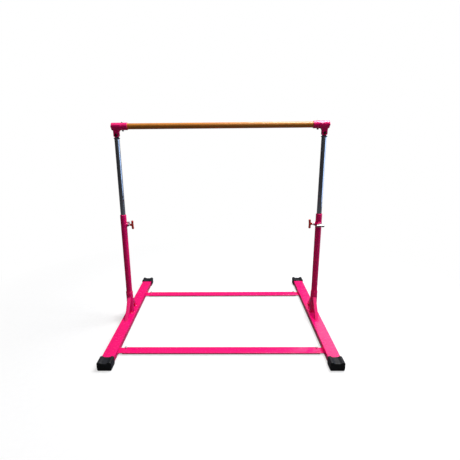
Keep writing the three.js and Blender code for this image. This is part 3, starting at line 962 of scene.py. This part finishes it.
def pin_barrel():
    """Threaded sleeve with a hexagon and a stepped nose, hollow for the lock pin."""
    barrel = RingStack(hex_outline(21, soft=0.6, steps=7))
    barrel.at((4.35, 25.6), (4.35, 19.9), (4.8, 19.4), (7.2, 19.4))
    for i in range(33):
        z = 20.2 + i * 0.3
        barrel.at((7.75 + 0.25 * math.sin(2 * math.pi * z / 1.2), z))
    barrel.at((8.0, 30.3)).prism(30.3, 37.0)
    barrel.at(  # radius, z: nose outside, then the stepped bore
        (6.6, 37.0), (6.0, 37.6), (6.0, 39.0), (6.0, 39.2), (6.0, 40.6), (5.8, 40.8),
        (5.8, 42.2), (5.8, 42.4), (5.8, 44.0), (6.0, 47.7), (5.4, 48.5),
        (3.6, 48.5), (3.35, 48.2), (3.35, 43.6), (4.95, 43.6), (4.95, 26.4), (4.35, 25.9),
    )
    return loft(barrel.rings, True).moved(TO_PIN)


def lock_pin():
    profile = [  # radius, z, corner radius
        (0, 18.5), (2.6, 18.5, 1.2), (4, 20.4, 0.8), (4, 33.5), (4.5, 33.5, 0.3),
        (4.5, 35.5, 0.3), (3, 35.5), (3, 71.6), (2.5, 72.2), (0, 72.2),
    ]
    return revolve(rounded(profile, 4), 48).moved(TO_PIN)


def pin_spring():
    turns, radius, wire, count = 3.6, 4.0, 0.45, 220
    part = np.arange(count) / (count - 1)
    angle = 2 * math.pi * turns * part
    # the end coils lie flat
    lift = np.clip((part - 0.10) / 0.80, 0, 1)
    lift = lift * (3 - 2 * lift) * lift * 0.25 + lift * 0.75
    height = SPRING_START + wire + (SPRING_END - SPRING_START - 2 * wire) * lift
    points = np.column_stack([radius * np.cos(angle), radius * np.sin(angle), height])
    tangent = unit(np.gradient(points, axis=0))
    outward = np.column_stack([np.cos(angle), np.sin(angle), np.zeros(count)])
    rings = wire_rings(points, np.full(count, wire), outward, np.cross(tangent, outward))
    return loft(rings).moved(TO_PIN)


def pin_handle():
    """Hub and cross grip; x out along the pin, y across, z up; the grip leans 7 degrees."""
    cos, sin = math.cos(math.radians(7)), math.sin(math.radians(7))
    half_grip = 25.5

    def solid(x, y, z):
        along = z * cos - y * sin
        across = y * cos + z * sin
        from_axis = np.hypot(y, z)
        part = np.clip(np.abs(along) / half_grip, 0, 1)
        over = np.maximum(np.abs(along) - half_grip, 0)
        bow = 0.8 * (1 - part**2)
        grip = np.sqrt((x - 64.5 + bow) ** 2 + across**2 + over**2) - (7.9 + 0.6 * part**1.5)
        hub = from_axis - (8.0 + 0.6 * (x - 44) / 18)
        hub = np.maximum(soft_max(hub, 44.0 - x, 1.4), x - 62.0)
        body = soft_min(grip, hub, 5.0)
        # hollow in the grip's outer face
        reach = ((x - 75.6) / 5.6) ** 2 + (across / 5.4) ** 2 + (along / 11.0) ** 2
        body = soft_max(body, -(np.sqrt(reach) - 1) * 5.4, 2.6)
        stem_hole = np.maximum(from_axis - 3.35, 50.0 - x)
        nose_hole = np.maximum(from_axis - 6.5, x - 56.5)
        return soft_max(soft_max(body, -stem_hole, 0.8), -nose_hole, 0.8)

    half_turn = np.diag([-1.0, -1.0, 1.0, 1.0])
    handle = mesh_solid(solid, (42.6, -14, -36), (75.0, 14, 36), 0.72)
    return handle.moved(shift(0, 0, PIN_Z) @ half_turn)


def clamp_stud():
    """Threaded stud with a bore in its tip."""
    segments, start, end = 48, 22.9, 60.8
    tip = [(2.5, 26.5), (2.5, 22.8), (2.8, 22.5), (4.0, 22.5)]  # radius, z
    rings = [ring(radius, z, segments) for radius, z in tip]
    z = 23.1
    while z < 60.5:
        run_in = (z - start) / 1.2
        fade = min(1, run_in, (end - z) / 1.5)
        groove = 0.82 * thread_depth(z, segments) * fade
        rings.append(ring(5.0 - groove - 0.35 * max(0, 1 - run_in), z, segments))
        z += 0.19
    rings += [ring(5.0, 61.0, segments), ring(5.0, 66.0, segments)]
    return loft(rings).moved(TO_CLAMP)


def clamp_rod():
    """Cross rod along x about the origin; its neck takes the stud from +Y."""

    def solid(x, y, z):
        from_axis = np.hypot(y, z)
        rod = soft_max(from_axis - 9.0, x - 28.0, 8.0)
        rod = soft_max(rod, -28.0 - x, 1.6)
        neck = np.maximum(soft_max(np.hypot(x, z) - 5.35, y - 10.4, 0.8), -y)
        body = soft_min(rod, neck, 2.6)
        bore = soft_max(from_axis - 5.6 - 0.5 * np.clip(-26 - x, 0, 2), x + 24.5, 1.2)
        return soft_max(body, -bore, 0.8)

    return mesh_solid(solid, (-30, -11, -11), (30.5, 12, 11), 0.62).moved(shift(0, -70, PIN_Z))


def clamp_pad():
    profile = [  # radius, z, corner radius
        (0, 18.0), (5, 18.0, 0.6), (5, 22.1, 0.5), (2.1, 22.1, 0.2), (2.1, 25.8, 0.4), (0, 25.8),
    ]
    return revolve(rounded(profile, 4), 48).moved(TO_CLAMP)


def inner_holes():
    """Cutters with a flared rim, from one pitch below the pin up to the tube's top."""
    flared = HOLE_RADIUS + 0.6
    cutter = revolve([
        (0, 6), (HOLE_RADIUS, 6), (HOLE_RADIUS, INNER_RADIUS - 0.3),
        (flared, INNER_RADIUS + 0.4), (flared, 30), (0, 30),
    ], 40)
    return [
        cutter.moved(shift(0, 0, k * HOLE_PITCH) @ TO_PIN)
        for k in range(-1, 8)
        if PIN_Z + k * HOLE_PITCH < INNER_TOP - 60
    ]


def tongue():
    """Collar and plug in the inner post's top, with a blade up to the pivot bolt."""
    pivot = PIVOT_Z - COLLAR_Z

    def solid(x, y, z):
        radius = np.hypot(x, y)
        from_pivot = np.hypot(x, z - pivot)
        cone = (radius - (17.7 + 0.935 * z)) * 0.73
        collar = soft_max(soft_max(soft_max(cone, radius - 22.0, 1.6), z - 9.0, 2.6), -z, 0.8)
        plug = np.maximum(soft_max(radius - 14.6, -30.0 - z, 1.2), z - 4)
        outline = np.where(z < pivot, np.abs(x) - 14.0, from_pivot - 14.0)
        blade = np.maximum(soft_max(outline, np.abs(y) - 6.0, 1.5), 3.0 - z)
        body = soft_min(np.minimum(collar, plug), blade, 2.8)
        return soft_max(body, -(from_pivot - 5.5), 0.8)

    return mesh_solid(solid, (-24, -24, -32), (24, 24, pivot + 16), 0.8).moved(shift(z=COLLAR_Z))


# ------------------------------------------------------------------ brackets and their screws
def bar_bracket():
    """Right-hand bracket, its origin on the bar's axis over the post."""
    cup_radius, plate_x, outer_x = 25.0, 25.0, 30.0

    def solid(x, y, z):
        radius = np.hypot(y, z)
        from_pivot = np.hypot(x, z - PIVOT_DROP)
        cup = soft_max(radius - cup_radius, -80.0 - x, 2.2)
        # ears: a rounded block, cornered at the foot
        flare = np.clip((z + 47.0) / 26.0, 0, 1)
        half_width = 19.0 + np.where(x < 0, 9.0, 3.0) * (1 - np.sqrt(1 - 0.98 * flare * flare))
        ears = soft_max(np.abs(x) - half_width, np.abs(y) - 17.0, 3.4)
        ears = soft_max(ears, -72.0 - z, 2.6)
        ears = soft_max(ears, (np.abs(x) - z - 83.0) * 0.7071, 2.4)
        ears = np.maximum(ears, z - 2.0)
        # the blend is wider on the inner flank than on the outer one
        body = soft_min(cup, ears, 13.0 + 5.0 * np.clip(-x / 30.0, -0.6, 1.0))
        # end plate: its own disc, with a fine groove where it meets the cup
        body = body + 0.55 * np.exp(-(((x - 24.6) / 0.75) ** 2)) * (z > -24.0)
        body = np.minimum(body, soft_max(radius - cup_radius, plate_x - x, 0.9))
        body = soft_max(body, x - outer_x, 1.5)
        body = soft_max(body, -soft_max(radius - 20.6, x - plate_x, 1.0), 1.2)  # bar's bore
        slot = np.where(z < -37.0, np.abs(y) - 7.0, np.hypot(y, z + 37.0) - 7.0)
        body = soft_max(body, -slot, 1.6)
        # holes for the end bolt, bar bolt and pivot bolt, and the pivot head's recess
        body = soft_max(body, -np.maximum(radius - 3.4, -x), 0.5)
        body = soft_max(body, -(np.hypot(x - BAR_BOLT_X, y) - 4.4), 0.8)
        body = soft_max(body, -(from_pivot - 5.4), 0.8)
        return soft_max(body, -soft_max(from_pivot - 11.5, y + 13.5, 0.6), 1.2)

    return mesh_solid(solid, (-82, -27, -74), (32, 27, 27), 0.9)


def pivot_bolt():
    """Screw with a knurled head and a hexagon socket; local +Z out of the head."""
    segments = 120
    angles = ring_angles(segments)
    knurl = 8.0 - 0.13 * np.abs(np.sin(angles * 30))
    sixth = math.pi / 6
    socket = 4.6 * math.cos(sixth) / np.cos((angles + sixth) % (math.pi / 3) - sixth)
    stations = [(4.3, -27.0), (5.0, -26.2)]  # radius, z
    z = -25.6
    while z < -16.5:
        stations.append((5.0 - 0.7 * thread_depth(z, segments), z))
        z += 0.21
    stations += [
        (5.0, -16.0), (5.0, 13.8), (7.6, 13.8), (7.85, 14.1), (knurl, 14.6), (knurl, 22.4),
        (7.75, 22.9), (7.3, 23.5), (6.8, 23.8), (np.minimum(socket + 0.45, 5.3), 23.8),
        (socket, 23.3), (socket, 18.6), (socket * 0.9, 18.3), (0.6, 17.2),
    ]
    bolt = loft([ring(radius, z, segments) for radius, z in stations])
    return bolt.moved(shift(0, 0, PIVOT_DROP) @ TO_MINUS_Y)


def end_bolt():
    """Shank, washer and chamfered hexagon; local +Z outward."""
    bolt = RingStack(hex_outline(15, soft=0.6))
    bolt.at((2.6, 8.3), (3.0, 8.9), (3.0, 30.3), (10.0, 30.3), (10.5, 30.8))
    bolt.at((10.5, 32.0), (10.0, 32.5), (7.6, 32.5))
    bolt.prism(32.5, 36.8, chamfer_low=False)
    bolt.at((5.6, 36.8), (5.2, 36.55), (1.0, 36.5))
    return loft(bolt.rings).moved(TO_X)


def bar_bolt():
    """Upright bolt through the bar, with a domed head on top."""
    profile = [  # radius, z
        (0, -34.0), (3.4, -34.0), (4.0, -33.4), (4.0, 24.4), (4.0, 25.3), (7.7, 25.3),
        (8.0, 25.7), (8.0, 26.6),
    ]
    for step in range(1, 9):
        angle = math.radians(step * 10)
        profile.append((8.0 * math.cos(angle * 0.93), 26.6 + 4.4 * math.sin(angle)))
    profile.append((0, 31.0))
    return revolve(profile, 64).moved(shift(BAR_BOLT_X))


def bar():
    chamfer, rows = 1.5, 40
    start = -BAR_HALF_LENGTH + chamfer
    length = 2 * BAR_HALF_LENGTH - 2 * chamfer
    profile = [(0, -BAR_HALF_LENGTH), (BAR_RADIUS - chamfer, -BAR_HALF_LENGTH)]
    profile += [(BAR_RADIUS, start + length * i / rows) for i in range(rows + 1)]
    profile += [(BAR_RADIUS - chamfer, BAR_HALF_LENGTH), (0, BAR_HALF_LENGTH)]
    return revolve(profile, 96).moved(shift(z=BAR_Z) @ TO_X)


# ------------------------------------------------------------------ assembly
BOOT, RAIL, SOCKET, BRACE = boot(), side_rail(), post_socket(), brace()
CROSS_BOLT, CROSS_NUT = cross_bolt(), cross_nut()
OUTER_POST, BOSSES, TONGUE = outer_post(), bosses(), tongue()
INNER_POST = tube(
    INNER_RADIUS, INNER_BORE, INNER_BOTTOM, INNER_TOP, segments=112, edge=0.7, rows=1
)
PIN_BARREL, PIN_SPRING, LOCK_PIN, PIN_HANDLE = pin_barrel(), pin_spring(), lock_pin(), pin_handle()
CLAMP_NUT = hex_nut(24, 33.3, 41.0, 5.5).moved(TO_CLAMP)
CLAMP_SCREW, CLAMP_PAD = clamp_stud() + clamp_rod(), clamp_pad()
BAR_BRACKET = bar_bracket()
BRACKET_SCREWS = {
    "pivot_bolt": pivot_bolt(),
    "pivot_nut": hex_nut(16, 17.3, 25.3, 5.3).moved(shift(0, 0, PIVOT_DROP) @ TO_Y),
    "end_bolt": end_bolt(),
    "bar_bolt": bar_bolt(),
    "bar_bolt_nut": hex_nut(13, -32.0, -25.3, 4.2).moved(shift(BAR_BOLT_X)),
}


def base_side(side, place):
    x, boot_y = place[0, 3], BOOT_LOW[1]
    stand(f"{side}_side_rail", RAIL.moved(shift(x)))
    rear, front = shift(x, boot_y), shift(x, -boot_y) @ MIRROR_Y
    stand(f"foot_rear_{side}", BOOT.moved(rear), angle=50, outward=False)
    stand(f"foot_front_{side}", BOOT.moved(front), angle=50, outward=False)
    stand(f"{side}_post_socket", SOCKET.moved(shift(x)))
    stand(f"{side}_rear_brace", BRACE.moved(shift(x)))
    stand(f"{side}_front_brace", BRACE.moved(shift(x) @ MIRROR_Y))
    for end in ("front", "rear"):
        node = f"spigot_{end}_{side}"
        stand(node, spigot(node), [bolt_hole(end, side)])
        bolt_place = cross_bolt_place(end, side)
        stand(f"cross_bolt_{end}_{side}", CROSS_BOLT.moved(bolt_place))
        stand(f"cross_nut_{end}_{side}", CROSS_NUT.moved(bolt_place))


def post_side(side, place):
    holes = [
        cylinder(PIN_BORE, 0, 26, 48).moved(place @ TO_PIN),
        cylinder(CLAMP_BORE, 0, 26, 48).moved(place @ TO_CLAMP),
    ]
    outer = carved_shell(OUTER_POST.moved(place), holes) + BOSSES.moved(place)
    stand(f"{side}_outer_post", outer, outward=False)
    stand(f"{side}_pin_barrel", PIN_BARREL.moved(place))
    seat, stop = (
        tuple((place @ TO_PIN @ np.array([0, 0, z, 1.0]))[:3] * MM)
        for z in (SPRING_START, SPRING_END)
    )
    spring_blend = (f"{side}_pin", "base_frame", seat, stop)
    stand(f"{side}_pin_spring", PIN_SPRING.moved(place), blend=spring_blend)
    stand(f"{side}_lock_pin", LOCK_PIN.moved(place))
    stand(f"{side}_pin_handle", PIN_HANDLE.moved(place), angle=60, outward=False)
    stand(f"{side}_clamp_nut", CLAMP_NUT.moved(place))
    stand(f"{side}_clamp_screw", CLAMP_SCREW.moved(place), angle=50)
    stand(f"{side}_clamp_pad", CLAMP_PAD.moved(place))
    cutters = [hole.moved(place) for hole in inner_holes()]
    stand(f"{side}_inner_post", INNER_POST.moved(place), cutters)
    stand(f"{side}_tongue", TONGUE.moved(place), angle=55, outward=False)


for side in ("left", "right"):
    base_side(side, POST[side])
    post_side(side, POST[side])
    stand(f"{side}_bar_bracket", BAR_BRACKET.moved(BRACKET[side]), angle=55, outward=False)
    for name, shell in BRACKET_SCREWS.items():
        stand(f"{side}_{name}", shell.moved(BRACKET[side]))
for end in ("front", "rear"):
    node = f"{end}_cross_tube"
    stand(node, cross_tube(node), [bolt_hole(end, side) for side in ("left", "right")])
stand("bar_rail", bar())


# ------------------------------------------------------------------ stage, light, camera; metres
def floor():
    """Pale disc that fades to white; it is dark to all but the camera."""
    edit = bmesh.new()
    bmesh.ops.create_circle(edit, cap_ends=True, cap_tris=True, segments=96, radius=14.0)
    mesh = bpy.data.meshes.new("floor")
    edit.to_mesh(mesh)
    edit.free()
    disc = add_object("floor", mesh)
    look = new_look("pale_floor")
    point = look.add("ShaderNodeTexCoord", output="Object")
    far = look.vector("LENGTH", point, output="Value")
    fade = look.ramp(look.remap(far, (0.9, 2.4)), (0.0, 0.0), (1.0, 1.0))
    grain = look.noise(point, scale=30.0, detail=3.0)
    pale = look.mix(look.remap(grain), (0.86, 0.86, 0.86), (0.90, 0.90, 0.90))
    lit = look.add("ShaderNodeBsdfDiffuse", {"Color": pale})
    glow = look.add("ShaderNodeEmission", {"Color": (1, 1, 1), "Strength": 1.0})
    seen = look.mix_shader(look.remap(fade, (0.0, 1.0), to=(0.55, 1.0)), lit, glow)
    dark = look.add("ShaderNodeBsdfDiffuse", {"Color": (0.10, 0.10, 0.10)})
    from_camera = look.add("ShaderNodeLightPath", output="Is Camera Ray")
    mesh.materials.append(look.surface(look.mix_shader(from_camera, dark, seen)))


def world():
    """Sky brighter overhead and to +X; the camera sees plain white."""
    look = Look(bpy.data.worlds.new("studio"))
    bpy.context.scene.world = look.owner
    generated = look.add("ShaderNodeTexCoord", output="Generated")
    direction = look.add("ShaderNodeSeparateXYZ", {"Vector": generated}, output=None).outputs
    up = look.remap(direction["Z"], (0.0, 1.0))
    right = look.remap(direction["X"], (0.0, 1.0))
    top_glow = look.times(look.math("POWER", up, 3.0), 0.9)
    side_glow = look.times(look.math("POWER", right, 3.0), 0.30)
    strength = look.plus(look.plus(top_glow, side_glow), 0.035)
    colour = look.mix(right, (1.0, 0.95, 0.92), (0.62, 0.80, 1.0))
    sky = look.add("ShaderNodeBackground", {"Color": colour, "Strength": strength})
    white = look.add("ShaderNodeBackground", {"Color": (1, 1, 1), "Strength": 1.0})
    from_camera = look.add("ShaderNodeLightPath", output="Is Camera Ray")
    look.surface(look.mix_shader(from_camera, sky, white), "ShaderNodeOutputWorld")


def pose(right, up, back, place):
    """Matrix of an object that looks along its own -Z."""
    rows = [[right[i], up[i], back[i], place[i]] for i in range(3)]
    return Matrix(rows + [[0, 0, 0, 1]])


def area(name, place, aim, size, power, colour):
    light = bpy.data.lights.new(name, "AREA")
    light.shape = "RECTANGLE"
    light.size, light.size_y = size
    light.energy = power
    light.color = colour
    back = unit(np.array(place, float) - np.array(aim, float))
    right = unit(np.cross([0, 0, 1.0], back))
    add_object(name, light).matrix_world = pose(right, np.cross(back, right), back, place)


def camera():
    """Stands in front, 2.9 m off and just below the bar, looking a little down."""
    pitch, yaw, roll = 0.2983, 0.0176, -0.0098  # radians
    place = (0.0408, -2.8761, 1.4177)
    level = math.cos(pitch)
    forward = np.array([-math.sin(yaw) * level, math.cos(yaw) * level, -math.sin(pitch)])
    right = unit(np.cross(forward, [0, 0, 1.0]))
    up = np.cross(right, forward)
    cos, sin = math.cos(roll), math.sin(roll)
    right, up = cos * right + sin * up, -sin * right + cos * up
    lens = bpy.data.cameras.new("camera")
    lens.sensor_width = 36.0
    lens.lens = 31.2550434783
    lens.shift_x = 0.0223043478
    lens.shift_y = 0.0496086957
    lens.clip_end = 60
    eye = add_object("camera", lens)
    eye.matrix_world = pose(right, up, -forward, place)
    bpy.context.scene.camera = eye


LIGHTS = [  # name, place, aim, size, power in W, colour
    ("key", (1.2, 0.3, 3.8), (0.0, 0.0, 0.4), (1.8, 1.8), 185, (1, 1, 1)),
    ("side", (3.4, 0.2, 1.4), (0.0, 0.0, 0.8), (1.8, 2.2), 32, (0.56, 0.72, 1.0)),
    ("back", (1.9, 2.9, 2.0), (0.75, -0.4, 0.0), (1.5, 1.0), 7, (1.0, 0.94, 0.96)),
    ("front", (0.4, -3.6, 3.0), (0.0, 0.0, 0.6), (1.2, 1.2), 8, (1.0, 0.97, 0.95)),
]

floor()
world()
for light_row in LIGHTS:
    area(*light_row)
camera()
bpy.context.scene.view_settings.view_transform = "Standard"
